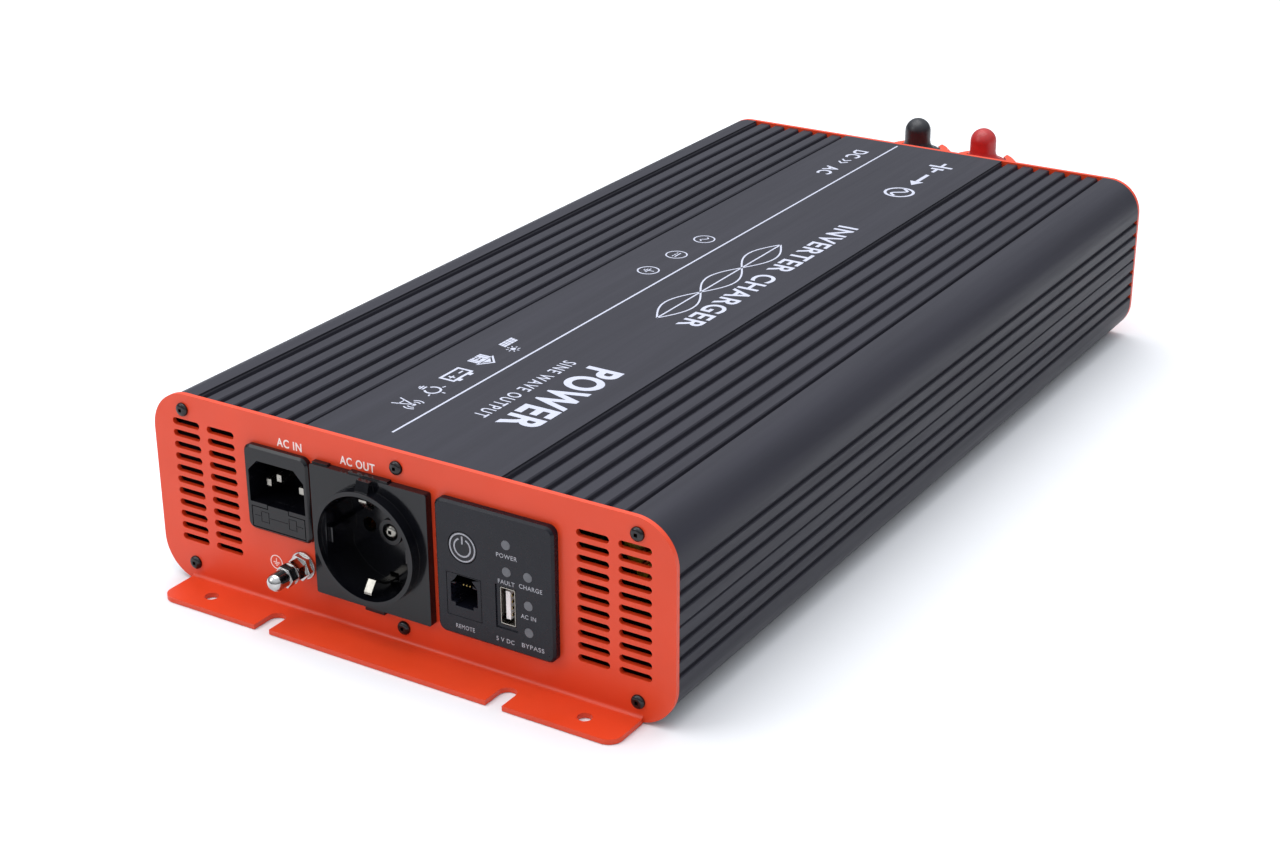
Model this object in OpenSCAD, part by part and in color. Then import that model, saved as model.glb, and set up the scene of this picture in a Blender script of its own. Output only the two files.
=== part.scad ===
// Mains power inverter with charger: two aluminium case shells between folded steel end plates.
// The front end carries the mains inlet, the mains outlet, the remote panel and the earth stud,
// the rear end carries two cooling fans and two capped direct-current terminals.
// Frame: X to the right seen from the front, Y towards the rear, Z up; the flanges rest on Z = 0.

/* [Case] */
// Front face of the front plate to the outer face of the rear plate
body_len = 397; // [380:1:420]
// Width of each end plate
plate_w = 210; // [208:0.5:214]
// Height of each end plate
plate_h = 71.5; // [71:0.5:74]
// Corner radius of the end plates
plate_r = 15; // [12:0.5:18]
// Thickness of the plate sheet
sheet_t = 1.8; // [1.5:0.1:2]
// How far the case extrusion sits inside the plate outline
case_inset = 0.8; // [0.5:0.1:1.2]
// Depth of the mounting flange
flange_d = 17; // [16:0.5:20]
// Width of the mounting flange
flange_w = 186; // [180:1:190]

/* [Case ribs] */
// Half width of the smooth centre of the top
flat_half = 39; // [36:0.5:39]
// Number of grooves in each rib bank
groove_count = 7; // [5:1:7]
// Spacing of the grooves
groove_pitch = 7.53; // [7:0.05:7.6]
// Depth of each groove
groove_depth = 1.9; // [1.2:0.1:2]
// Spacing of the grooves on the sides
side_pitch = 5.75; // [5.25:0.05:5.9]

/* [Vents] */
// Length of a vent slot
vent_len = 12; // [10:0.1:12.4]
// Height of a vent slot
vent_h = 2.6; // [1.8:0.1:2.8]
// Rows of vent slots
vent_rows = 11; // [6:1:11]
// Spacing of the rows
vent_pitch = 4.4; // [4:0.1:4.4]

/* [Front fittings] */
// Diameter of the outlet's round recess
recess_d = 37.4; // [37.2:0.1:38]
// Side of the outlet's square face
outlet_w = 47.6; // [46:0.1:48]
// Distance the fuse drawer pulls out
drawer_travel = 22; // [15:1:24]
// Travel of the power button
button_travel = 0.5; // [0.3:0.1:0.6]

/* [Rear fittings] */
// Spacing of the two direct-current terminals
terminal_gap = 33.4; // [33:0.1:36]
// Diameter of a terminal stud
terminal_stud_d = 8; // [6:1:8]
// Diameter of the fan blade sweep
fan_sweep_d = 46; // [42:0.2:46.4]
// Number of blades on each fan
blade_count = 7; // [5:1:9]

/* [Hidden] */
$fn = 48;

// Small gap between pieces that only lie next to each other
gap = 0.3;
// Clearance round a pin or stud in its hole
fit_gap = 0.05;
// Overlap that makes a cut run cleanly through a face
cut = 1;

// Reach of the earth stud in front, and of the terminals behind
front_reach = 18;
rear_reach = 45;
total_len = front_reach + body_len + rear_reach;
front_y = front_reach - total_len / 2;
rear_y = front_y + body_len;
shell_y0 = front_y + sheet_t;
shell_y1 = rear_y - sheet_t;
mid_z = plate_h / 2;

// Sheet bend between plate and flange
bend_in = 1.5;
bend_out = bend_in + sheet_t;
flange_corner_r = 5;
flange_hole_r = 2.5;
flange_hole_x = 77;
flange_hole_y = 8.9;
slot_x = 47.7;
slot_w = 6.5;
slot_depth = 11;

// Case extrusion, measured from the seam between the two shells
case_w = plate_w - 2 * case_inset;
case_top = plate_h / 2 - case_inset;
case_r = plate_r - case_inset;
wall = 2.8;
bank_drop = 0.7;
bank_end = 87;
bank_ceiling = case_top - 4.05;
centre_ceiling = case_top - 2.65;
seam_gap = 0.05;
port_x = 91.3;
port_upper = 30;
port_lower = 28.4;
port_r = 3.6;
port_hole_r = 1.5;
ledge_x = 97.6;
ledge_low = 20.7;
ledge_high = 24;
ledge_t = 1.2;

// Plate screws
screw_head_r = 2.45;
screw_head_h = 1.4;
screw_len = 10;
screw_r = 1.45;
plate_hole_r = 1.75;
screw_places = [for (x = [-port_x, 0, port_x], h = [-port_lower, port_upper]) [x, mid_z + h]];

// Vent slot columns
vent_x = [74.95, 90.3];
vent_z0 = 16.7;

// Chamfer of the inlet's and the panel's front edge
face_chamfer = 0.8;

// Mains inlet
inlet_x = -49.4;
inlet_z = 45;
inlet_w = 27.6;
inlet_h = 31.4;
inlet_out = 2.5;
inlet_depth = 26;
cavity_w = 23.8;
cavity_z0 = 39.9;
cavity_z1 = 55.5;
cavity_depth = 13.5;
cavity_chamfer = 4;
pin_x = 7;
pin_z = 46;
earth_pin_z = 50.2;
drawer_w = 22.6;
drawer_z0 = 30.7;
drawer_z1 = 38.1;
drawer_len = 18;
drawer_tab_w = 8.8;
drawer_tab_z = 39.7;
drawer_tab_d = 3.5;
drawer_gap = 0.3;
fuse_r = 2.5;
fuse_len = 20;
fuse_z = 34.3;
fuse_y = [4, 13];

// Mains outlet
outlet_x = -10.2;
outlet_z = 36.6;
outlet_out = 3;
rim_out = 7;
recess_r = recess_d / 2;
rim_r = recess_r + 1.6;
recess_floor = 9;
side_flat = 16.6;
cup_floor_t = 2;
outlet_pin_x = 9.5;
rib_w = 5.4;
rib_h = 1.6;
carrier_w = 38;
carrier_d = 16;
contact_r = 3.4;
clip_w = 3;
clip_t = 0.8;
clip_seat = 17.2;
clip_slot_h = 2.8;
clip_tail = 18;

// Remote panel
panel_x = 39.4;
panel_z = 36.9;
panel_w = 45.7;
panel_h = 48;
panel_out = 3;
panel_r = 3;
panel_skirt = 9;
board_y = front_y + 6.2;
board_t = 1.6;
button_x = 27.4;
button_z = 45.5;
button_r = 5.5;
jack_x = 27.4;
jack_w = 13.4;
jack_z0 = 20.2;
jack_z1 = 35.4;
jack_depth = 13;
usb_x = 44.25;
usb_z = 28.7;
usb_w = 5.8;
usb_h = 13.2;
usb_wall = 0.35;
led_r = 1.65;
led_places = [[44.3, 50.8], [44.3, 41.3], [52.4, 41.5], [52.4, 31.4], [52.4, 21.8]];

// Earth stud
earth_x = -41.5;
earth_z = 19.6;
earth_r = 2;
earth_base_r = 4.8;
earth_nut_r = 4.04;

// Direct-current terminals
terminal_y = rear_y + 29;
terminal_r = 16;
block_z0 = 28;
block_top = 60;
bar_z = 46;
bar_t = 4;
bar_w = 20;
bar_inside = 60;
well_r = 11;
channel_w = 14;
terminal_stud_r = terminal_stud_d / 2;
terminal_stud_top = 66;
boot_r = 6;
boot_centre_z = 68.8;
boot_z0 = 54.6;
boot_skirt_r = 10.4;

// Cooling fans
fan_x = 61;
fan_z = 36;
fan_w = 50;
fan_d = 20;
fan_hole = 20;
guard_eye_h = 2;
fan_duct_r = fan_sweep_d / 2 + 1;
hub_r = 11;
shaft_r = 1.5;

// Inside
pcb_z = 12;
pcb_top = pcb_z + board_t;
pcb_w = 200.6;
pcb_y0 = front_y + 36;
pcb_y1 = rear_y - 26;

// ---- shape helpers ----

// Rectangle with round corners, centred
module rounded_rect(w, h, r) {
    square([w - 2 * r, h], center = true);
    square([w, h - 2 * r], center = true);
    for (sx = [-1, 1], sy = [-1, 1])
        translate([sx * (w / 2 - r), sy * (h / 2 - r)])
            circle(r);
}

// Stretches a flat (x, z) shape from y0 to y1
module slab_y(y0, y1) {
    translate([0, y1, 0])
        rotate([90, 0, 0])
            linear_extrude(y1 - y0)
                children();
}

// Stretches a flat (y, z) shape from x0 to x1
module slab_x(x0, x1) {
    translate([x0, 0, 0])
        rotate([90, 0, 90])
            linear_extrude(x1 - x0)
                children();
}

// Round bar along Y through (x, z)
module rod_y(x, z, r, y0, y1) {
    translate([x, y1, z])
        rotate([90, 0, 0])
            cylinder(r = r, h = y1 - y0);
}

// Round bar between any two points
module rod_between(a, b, r) {
    v = b - a;
    translate(a)
        rotate([0, acos(v[2] / norm(v)), atan2(v[1], v[0])])
            cylinder(r = r, h = norm(v));
}

// Insulated lead that runs through a list of points
module lead(points, r) {
    for (i = [0 : len(points) - 2])
        rod_between(points[i], points[i + 1], r);
    for (i = [1 : len(points) - 2])
        translate(points[i])
            sphere(r);
}

// Box from its low corner to its high corner
module box(low, high) {
    translate(low)
        cube(high - low);
}

// Puts children at x = +v and mirrored at x = -v
module both_sides() {
    children();
    mirror([1, 0, 0])
        children();
}

// Pan head screw along Y, head towards -Y, seat at y = 0
module pan_screw(head_r, head_h, shank_r, len) {
    difference() {
        union() {
            rotate([90, 0, 0])
                rotate_extrude()
                    polygon([[0, 0], [head_r, 0], [head_r, head_h * 0.3], [head_r * 0.93, head_h * 0.6],
                        [head_r * 0.75, head_h * 0.85], [head_r * 0.45, head_h], [0, head_h]]);
            rod_y(0, 0, shank_r, -cut / 2, len);
        }
        for (a = [0, 90])
            rotate([0, a, 0])
                cube([head_r * 1.3, 2 * head_h * 0.85, head_r * 0.3], center = true);
        translate([0, -head_h, 0])
            cube([head_r * 0.5, head_h * 1.6, head_r * 0.5], center = true);
    }
}

// Hexagon nut along Y from y = 0 to y = t, with its bore
module hex_nut(across_r, bore_r, t) {
    difference() {
        translate([0, t, 0])
            rotate([90, 0, 0])
                cylinder(r = across_r, h = t, $fn = 6);
        rod_y(0, 0, bore_r, -cut, t + cut);
    }
}

// Face plate from y_back out to y_face, its front edge chamfered by c
module face_plate(w, h, r, y_face, y_back, c) {
    chamfered_bar(w - 2 * r, h, y_face, y_back, c);
    rotate([0, 90, 0])
        chamfered_bar(h - 2 * r, w, y_face, y_back, c);
    for (sx = [-1, 1], sz = [-1, 1])
        translate([sx * (w / 2 - r), y_face + c, sz * (h / 2 - r)]) {
            rod_y(0, 0, r, 0, y_back - y_face - c);
            rotate([90, 0, 0])
                cylinder(r1 = r, r2 = r - c, h = c);
        }
}

// Bar of the given length along X, chamfered by c at its front edges
module chamfered_bar(length, h, y_face, y_back, c) {
    slab_x(-length / 2, length / 2)
        polygon([[y_back, -h / 2], [y_back, h / 2], [y_face + c, h / 2], [y_face, h / 2 - c],
                 [y_face, c - h / 2], [y_face + c, -h / 2]]);
}

// Flat ring along Y from y = 0 to y = t
module ring_y(r_out, r_in, t) {
    difference() {
        rod_y(0, 0, r_out, 0, t);
        rod_y(0, 0, r_in, -cut, t + cut);
    }
}

// ---- case ----

// One extrusion, open towards h = 0: x to the right, h away from the seam, screw ports at port_h
module shell_profile(port_h) {
    difference() {
        union() {
            difference() {
                shell_outer();
                shell_inner();
            }
            intersection() {
                shell_ports(port_h);
                shell_outer();
            }
            both_sides()
                for (h = [ledge_low, ledge_high])
                    translate([ledge_x, h])
                        square([case_w / 2 - wall / 2 - ledge_x, ledge_t]);
        }
        for (x = [-port_x, 0, port_x])
            translate([x, port_h])
                circle(port_hole_r);
    }
}

module shell_outer() {
    difference() {
        intersection() {
            rounded_rect(case_w, 2 * case_top, case_r);
            translate([-case_w, seam_gap])
                square([2 * case_w, case_top]);
        }
        both_sides() {
            translate([flat_half, case_top - bank_drop])
                square([bank_end - flat_half, cut]);
            for (k = [0 : groove_count - 1])
                translate([flat_half + 1.4 + k * groove_pitch, case_top - bank_drop])
                    groove(2.5, groove_depth);
            for (k = [1 : 3])
                translate([case_w / 2, k * side_pitch])
                    rotate(-90)
                        groove(1.8, 1.2);
            translate([case_w / 2, 0])
                rotate(-90)
                    groove(0.9, 0.6);
        }
    }
}

// Groove cut down from y = 0 with a flared mouth
module groove(w, d) {
    polygon([[-w * 0.68, cut / 4], [-w * 0.68, 0], [-w / 2, -d * 0.25], [-w * 0.42, -d],
        [w * 0.42, -d], [w / 2, -d * 0.25], [w * 0.68, 0], [w * 0.68, cut / 4]]);
}

module shell_inner() {
    rounded_rect(case_w - 2 * wall, 2 * bank_ceiling, case_r - wall);
    square([2 * (flat_half - 2), 2 * centre_ceiling], center = true);
}

module shell_ports(port_h) {
    for (x = [-port_x, 0, port_x])
        translate([x, port_h]) {
            circle(port_r);
            translate([-1, 0])
                square([2, case_top - port_h - 1.5]);
        }
}

module upper_shell() {
    color([0.15, 0.15, 0.17])
        translate([0, 0, mid_z])
            slab_y(shell_y0, shell_y1)
                shell_profile(port_upper);
}

module lower_shell() {
    color([0.13, 0.13, 0.15])
        translate([0, 0, mid_z])
            mirror([0, 0, 1])
                slab_y(shell_y0, shell_y1)
                    shell_profile(port_lower);
}

// ---- end plates ----

// Plate outline in (x, z), drawn in by inset all round, with room left for the bend
module plate_outline(inset = 0) {
    difference() {
        translate([0, mid_z])
            rounded_rect(plate_w - 2 * inset, plate_h - 2 * inset, plate_r - inset);
        translate([-flange_w / 2, -cut])
            square([flange_w, bend_out + cut]);
        for (p = screw_places)
            translate(p)
                circle(plate_hole_r);
    }
}

// Flange and bend; the plate's outer face is y = 0 and the flange runs towards -Y
module flange() {
    slab_x(-flange_w / 2, flange_w / 2)
        intersection() {
            translate([-bend_in, bend_out])
                difference() {
                    circle(bend_out);
                    circle(bend_in);
                }
            translate([-bend_in, 0])
                square([bend_out, bend_out]);
        }
    linear_extrude(sheet_t)
        difference() {
            union() {
                translate([-flange_w / 2, flange_corner_r - flange_d])
                    square([flange_w, flange_d - bend_in - flange_corner_r]);
                translate([flange_corner_r - flange_w / 2, -flange_d])
                    square([flange_w - 2 * flange_corner_r, flange_d - bend_in]);
                for (s = [-1, 1])
                    translate([s * (flange_w / 2 - flange_corner_r), flange_corner_r - flange_d])
                        circle(flange_corner_r);
            }
            for (s = [-1, 1]) {
                translate([s * flange_hole_x, -flange_hole_y])
                    circle(flange_hole_r);
                translate([s * slot_x - slot_w / 2, -flange_d - cut])
                    square([slot_w, slot_depth + cut - slot_w / 2]);
                translate([s * slot_x, slot_depth - slot_w / 2 - flange_d])
                    circle(slot_w / 2);
            }
        }
}

// One vent slot with round ends
module vent_slot() {
    square([vent_len - vent_h, vent_h], center = true);
    for (s = [-1, 1])
        translate([s * (vent_len - vent_h) / 2, 0])
            circle(vent_h / 2);
}

module front_plate() {
    color([0.91, 0.33, 0.16]) {
        slab_y(front_y, front_y + sheet_t)
            difference() {
                plate_outline();
                both_sides()
                    for (x = vent_x, k = [0 : vent_rows - 1])
                        translate([x, vent_z0 + k * vent_pitch])
                            vent_slot();
                translate([inlet_x, inlet_z - 1])
                    square([inlet_w - 1.2, inlet_h - 2.4], center = true);
                translate([outlet_x, outlet_z])
                    circle(rim_r + gap);
                translate([panel_x, panel_z])
                    square([panel_w - 3.4, panel_h - 3.4], center = true);
                translate([earth_x, earth_z])
                    circle(earth_r + 0.1);
            }
        translate([0, front_y, 0])
            flange();
    }
}

module rear_plate() {
    color([0.91, 0.33, 0.16]) {
        slab_y(rear_y - sheet_t, rear_y)
            difference() {
                plate_outline(case_inset);
                both_sides() {
                    translate([fan_x, fan_z])
                        circle(fan_duct_r - 0.5);
                    for (sx = [-1, 1], sz = [-1, 1])
                        translate([fan_x + sx * fan_hole, fan_z + sz * fan_hole])
                            circle(1.9);
                    translate([terminal_gap / 2, bar_z + bar_t / 2])
                        square([bar_w + 4, bar_t + 4], center = true);
                }
            }
        translate([0, rear_y, 0])
            mirror([0, 1, 0])
                flange();
    }
}

module front_screws() {
    color([0.06, 0.06, 0.07])
        for (p = screw_places)
            translate([p[0], front_y, p[1]])
                pan_screw(screw_head_r, screw_head_h, screw_r, screw_len);
}

module rear_screws() {
    color([0.06, 0.06, 0.07])
        for (p = screw_places)
            translate([p[0], rear_y, p[1]])
                mirror([0, 1, 0])
                    pan_screw(screw_head_r, screw_head_h, screw_r, screw_len);
}

// ---- mains inlet with fuse drawer ----

// Mouth of the inlet cavity with its two upper corners cut off
module cavity_outline() {
    half = cavity_w / 2;
    c = cavity_chamfer;
    translate([inlet_x, 0])
        polygon([[-half, cavity_z0], [half, cavity_z0], [half, cavity_z1 - c], [half - c, cavity_z1],
            [c - half, cavity_z1], [-half, cavity_z1 - c]]);
}

// Drawer outline with its finger tab, grown by a gap
module drawer_outline(g) {
    translate([inlet_x, (drawer_z0 + drawer_z1) / 2])
        square([drawer_w + 2 * g, drawer_z1 - drawer_z0 + 2 * g], center = true);
}

module drawer_tab(g) {
    translate([inlet_x - drawer_tab_w / 2 - g, drawer_z1 - cut])
        square([drawer_tab_w + 2 * g, drawer_tab_z - drawer_z1 + cut + g]);
}

// Flat section of the three pins, grown by a gap
module pin_section(g) {
    for (p = [[-pin_x, pin_z], [pin_x, pin_z], [0, earth_pin_z]])
        translate([inlet_x + p[0], p[1]])
            square([2 + 2 * g, 4 + 2 * g], center = true);
}

module inlet_body() {
    face = front_y - inlet_out;
    color([0.16, 0.17, 0.19])
        difference() {
            union() {
                translate([inlet_x, 0, inlet_z])
                    face_plate(inlet_w, inlet_h, 3, face, front_y, face_chamfer);
                slab_y(front_y - cut, front_y + inlet_depth)
                    translate([inlet_x, inlet_z - 1])
                        square([inlet_w - 1.8, inlet_h - 3], center = true);
            }
            slab_y(face - cut, front_y + cavity_depth)
                cavity_outline();
            slab_y(face - cut, front_y + drawer_len + 2)
                drawer_outline(drawer_gap);
            slab_y(face - cut, face + drawer_tab_d + drawer_gap)
                drawer_tab(drawer_gap);
            slab_y(front_y, front_y + inlet_depth + cut)
                pin_section(fit_gap);
        }
}

module inlet_pins() {
    color([0.82, 0.82, 0.8]) {
        for (s = [-1, 1])
            inlet_pin(inlet_x + s * pin_x, pin_z, 1.9);
        inlet_pin(inlet_x, earth_pin_z, -0.8);
    }
}

// One blade from its tip, tip_y behind the plate face, to its solder tag at the back
module inlet_pin(x, z, tip_y) {
    slab_x(x - 1, x + 1)
        polygon([[front_y + tip_y, z - 1.2], [front_y + tip_y, z + 1.2], [front_y + tip_y + 1.2, z + 2],
            [front_y + inlet_depth + 7, z + 2], [front_y + inlet_depth + 7, z - 2],
            [front_y + tip_y + 1.2, z - 2]]);
}

module fuse_drawer() {
    face = front_y - inlet_out;
    bay = fuse_len + 0.6;
    color([0.14, 0.15, 0.17])
        difference() {
            union() {
                slab_y(face, front_y + drawer_len)
                    drawer_outline(0);
                slab_y(face, face + drawer_tab_d)
                    drawer_tab(0);
            }
            for (y = fuse_y)
                box([inlet_x - bay / 2, front_y + y - 3.4, fuse_z - fuse_r - 0.3],
                    [inlet_x + bay / 2, front_y + y + 3.4, drawer_z1 + cut]);
        }
}

module drawer_fuses() {
    color([0.75, 0.8, 0.82])
        for (y = fuse_y)
            translate([inlet_x, front_y + y, fuse_z]) {
                rotate([0, 90, 0])
                    cylinder(r = fuse_r - 0.3, h = fuse_len - 1, center = true);
                for (s = [-1, 1])
                    translate([s * (fuse_len / 2 - 2.5), 0, 0])
                        rotate([0, 90, 0])
                            cylinder(r = fuse_r, h = 5, center = true);
            }
}

// ---- mains outlet ----

module outlet_front() {
    face = front_y - outlet_out;
    floor_y = front_y + recess_floor;
    top_z = outlet_z + outlet_w / 2;
    color([0.15, 0.16, 0.18])
        difference() {
            union() {
                slab_y(face, front_y)
                    translate([outlet_x, outlet_z])
                        rounded_rect(outlet_w, outlet_w, 0.8);
                rod_y(outlet_x, outlet_z, rim_r, front_y - rim_out, floor_y + cup_floor_t);
                slab_x(outlet_x - 2.6, outlet_x + 2.6)
                    polygon([[face + cut, outlet_z + recess_r + 1],
                             [front_y - rim_out + 0.6, outlet_z + recess_r + 1],
                        [face - 2, top_z], [face + cut, top_z]]);
                // snap tabs that show above and below the square face
                box([outlet_x - 23.4, front_y - 2, top_z - cut], [outlet_x - 17, front_y, top_z + 0.5]);
                box([outlet_x - 8, front_y - 2.4, top_z - cut], [outlet_x + 8, front_y, top_z + 0.6]);
                box([outlet_x - 4, front_y - 2.4, top_z - outlet_w - 1.6],
                    [outlet_x + 4, front_y, top_z - outlet_w + cut]);
            }
            difference() {
                rod_y(outlet_x, outlet_z, recess_r, front_y - rim_out - cut, floor_y);
                // flat sides left and right, each with a guide rib
                for (s = [-1, 1]) {
                    translate([outlet_x + s * 2 * side_flat, 0, outlet_z])
                        slab_y(front_y - rim_out + 2.2, floor_y + cut)
                            square([2 * side_flat, 2 * recess_r], center = true);
                    translate([outlet_x + s * side_flat, 0, outlet_z])
                        slab_y(front_y - rim_out + 3.4, floor_y + cut)
                            square([2 * rib_h, rib_w], center = true);
                }
                // raised boss round the fixing screw
                rod_y(outlet_x, outlet_z, 4.6, floor_y - 1.2, floor_y + cut);
            }
            for (s = [-1, 1]) {
                rod_y(outlet_x + s * outlet_pin_x, outlet_z, 2.7, floor_y - cut, floor_y + cup_floor_t + cut);
                // slots that let the earth clips through the floor
                translate([outlet_x, 0, outlet_z + s * (clip_seat - clip_t / 2)])
                    slab_y(floor_y - cut, floor_y + cup_floor_t + cut)
                        square([clip_w + 2 * gap, clip_slot_h], center = true);
            }
            rod_y(outlet_x, outlet_z, 3.1, floor_y - 2 * cut, floor_y + 0.4);
            rod_y(outlet_x, outlet_z, 1.6, floor_y - cut, floor_y + cup_floor_t + cut);
        }
}

module outlet_carrier() {
    y0 = front_y + recess_floor + cup_floor_t;
    color([0.2, 0.2, 0.22])
        difference() {
            slab_y(y0, y0 + carrier_d)
                translate([outlet_x, outlet_z])
                    rounded_rect(carrier_w, carrier_w, 4);
            for (s = [-1, 1]) {
                rod_y(outlet_x + s * outlet_pin_x, outlet_z, contact_r + fit_gap,
                      y0 - cut, y0 + carrier_d + cut);
                translate([outlet_x, 0, outlet_z + s * (clip_seat - clip_t / 2)])
                    slab_y(y0 - cut, y0 + carrier_d + cut)
                        square([clip_w + 2 * gap, clip_slot_h], center = true);
            }
            rod_y(outlet_x, outlet_z, screw_r + fit_gap, y0 - cut, y0 + 12);
        }
}

module outlet_contacts() {
    y0 = front_y + recess_floor + cup_floor_t;
    color([0.8, 0.66, 0.36])
        for (s = [-1, 1])
            difference() {
                union() {
                    rod_y(outlet_x + s * outlet_pin_x, outlet_z, contact_r, y0 + 0.5, y0 + carrier_d);
                    translate([outlet_x + s * outlet_pin_x, y0 + carrier_d + 3, outlet_z])
                        cube([1.2, 7, 5], center = true);
                }
                rod_y(outlet_x + s * outlet_pin_x, outlet_z, 2.42, y0 - cut, y0 + 12);
            }
}

// Side view of one earth clip: it runs along the recess wall and bulges inwards near the mouth
function clip_line(t, shift) =
    [recess_floor + clip_tail - (clip_tail + 14.5) * t, clip_seat - shift - 3.6 * pow(sin(180 * pow(t, 7)), 2)];

module outlet_earth_clips() {
    steps = 24;
    color([0.85, 0.78, 0.6])
        for (s = [0, 180])
            translate([outlet_x, front_y, outlet_z])
                rotate([0, s, 0])
                    slab_x(-clip_w / 2, clip_w / 2)
                        polygon(concat([for (i = [0 : steps]) clip_line(i / steps, 0)],
                            [for (i = [steps : -1 : 0]) clip_line(i / steps, clip_t)]));
}

module outlet_screw() {
    color([0.8, 0.78, 0.72])
        translate([outlet_x, front_y + recess_floor + 0.4, outlet_z])
            pan_screw(2.7, 1.9, screw_r, 12);
}

// ---- remote panel ----

// Stepped mouth of the modular jack
module jack_mouth() {
    translate([jack_x - 2.2, 24])
        square([4.4, 11]);
    translate([jack_x - 3.4, 24])
        square([6.8, 9.2]);
    translate([jack_x - 5.2, 25])
        square([10.4, 6.6]);
    translate([jack_x - 3.5, 23.7])
        square([7, 2]);
}

module panel_bezel() {
    face = front_y - panel_out;
    color([0.17, 0.18, 0.2])
        difference() {
            union() {
                translate([panel_x, 0, panel_z])
                    face_plate(panel_w, panel_h, panel_r, face, front_y, face_chamfer);
                slab_y(front_y - cut, front_y + panel_skirt)
                    translate([panel_x, panel_z])
                        difference() {
                            square([panel_w - 4, panel_h - 4], center = true);
                            square([panel_w - 6, panel_h - 6], center = true);
                        }
            }
            rod_y(button_x, button_z, button_r + 0.15, face - cut, front_y + cut);
            rod_y(button_x, button_z, button_r + 1.2, front_y - 1.6, front_y + cut);
            for (p = led_places)
                rod_y(p[0], p[1], led_r + fit_gap, face - cut, front_y + cut);
            box([jack_x - jack_w / 2 - 0.15, face - cut, jack_z0 - 0.15],
                [jack_x + jack_w / 2 + 0.15, front_y + cut, jack_z1 + 0.15]);
            box([usb_x - usb_w / 2 - 0.15, face - cut, usb_z - usb_h / 2 - 0.15],
                [usb_x + usb_w / 2 + 0.15, front_y + cut, usb_z + usb_h / 2 + 0.15]);
            box([usb_x - usb_w / 2 - 1.6, face - cut, usb_z - usb_h / 2 - 1.6],
                [usb_x + usb_w / 2 + 1, face + 0.5, usb_z + usb_h / 2 + 0.8]);
        }
}

module power_button() {
    face = front_y - panel_out;
    color([0.19, 0.2, 0.22]) {
        rod_y(button_x, button_z, button_r, face, front_y - 0.8);
        rod_y(button_x, button_z, button_r + 0.8, front_y - 1.1, front_y - 0.2);
        rod_y(button_x, button_z, 1.6, front_y - 0.5, front_y + 1.4);
    }
}

module panel_board() {
    color([0.08, 0.3, 0.18])
        difference() {
            slab_y(board_y, board_y + board_t)
                translate([panel_x, panel_z])
                    square([panel_w - 7.6, panel_h - 7.6], center = true);
            box([jack_x - jack_w / 2 - gap, board_y - cut, jack_z0 - gap],
                [jack_x + jack_w / 2 + gap, board_y + board_t + cut, jack_z1 + gap]);
            box([usb_x - usb_w / 2 - gap, board_y - cut, usb_z - usb_h / 2 - gap],
                [usb_x + usb_w / 2 + gap, board_y + board_t + cut, usb_z + usb_h / 2 + gap]);
        }
}

module push_switch() {
    color([0.1, 0.1, 0.1]) {
        slab_y(board_y - 3.6, board_y)
            translate([button_x, button_z])
                square([6, 6], center = true);
        rod_y(button_x, button_z, 1.7, board_y - 4.2, board_y - 3);
    }
}

module light_pipes() {
    color([0.5, 0.5, 0.53])
        for (p = led_places)
            rod_y(p[0], p[1], led_r, front_y - panel_out, board_y - 1.3);
}

module status_leds() {
    color([0.9, 0.9, 0.8])
        for (p = led_places)
            slab_y(board_y - 1.1, board_y)
                translate(p)
                    square([3.2, 1.6], center = true);
}

module remote_jack() {
    face = front_y - panel_out;
    color([0.1, 0.1, 0.11])
        difference() {
            slab_y(face, front_y + jack_depth)
                translate([jack_x - jack_w / 2, jack_z0])
                    square([jack_w, jack_z1 - jack_z0]);
            slab_y(face - cut, front_y + jack_depth - 2)
                jack_mouth();
        }
}

module jack_contacts() {
    color([0.85, 0.7, 0.35])
        for (k = [-1.5 : 1 : 1.5])
            rod_between([jack_x + k * 1.27, front_y - 0.5, 30.6],
                        [jack_x + k * 1.27, front_y + 10.9, 26.6], 0.25);
}

module usb_shell() {
    face = front_y - panel_out + 0.4;
    color([0.78, 0.78, 0.78])
        difference() {
            slab_y(face, front_y + 11)
                translate([usb_x, usb_z])
                    rounded_rect(usb_w, usb_h, 0.5);
            slab_y(face - cut, front_y + 11 - usb_wall)
                translate([usb_x, usb_z])
                    rounded_rect(usb_w - 2 * usb_wall, usb_h - 2 * usb_wall, 0.2);
        }
}

module usb_tongue() {
    color([0.92, 0.92, 0.92]) {
        box([usb_x - 1.4, front_y - 1.6, usb_z - 5], [usb_x + 0.4, front_y + 8, usb_z + 5]);
        box([usb_x - 2.4, front_y + 8, usb_z - 6], [usb_x + 2.4, front_y + 10.4, usb_z + 6]);
    }
}

module usb_contacts() {
    color([0.85, 0.7, 0.35])
        for (k = [-1.5 : 1 : 1.5])
            box([usb_x + 0.4, front_y - 0.8, usb_z + k * 2.3 - 0.5],
                [usb_x + 0.6, front_y + 7.9, usb_z + k * 2.3 + 0.5]);
}

// ---- earth stud ----

module earth_stud() {
    color([0.8, 0.8, 0.82]) {
        rod_y(earth_x, earth_z, earth_r, front_y - 15, front_y + 12);
        translate([earth_x, front_y + sheet_t + 0.8, earth_z])
            rod_y(0, 0, 4, 0, 3);
    }
}

module earth_nuts() {
    color([0.8, 0.8, 0.82])
        translate([earth_x, front_y, earth_z]) {
            translate([0, -3.2, 0])
                rotate([0, 12, 0])
                    hex_nut(earth_base_r, earth_r + fit_gap, 2.2);
            translate([0, -7.2, 0])
                rotate([0, 25, 0])
                    hex_nut(earth_nut_r, earth_r + fit_gap, 3.98);
        }
}

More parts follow.
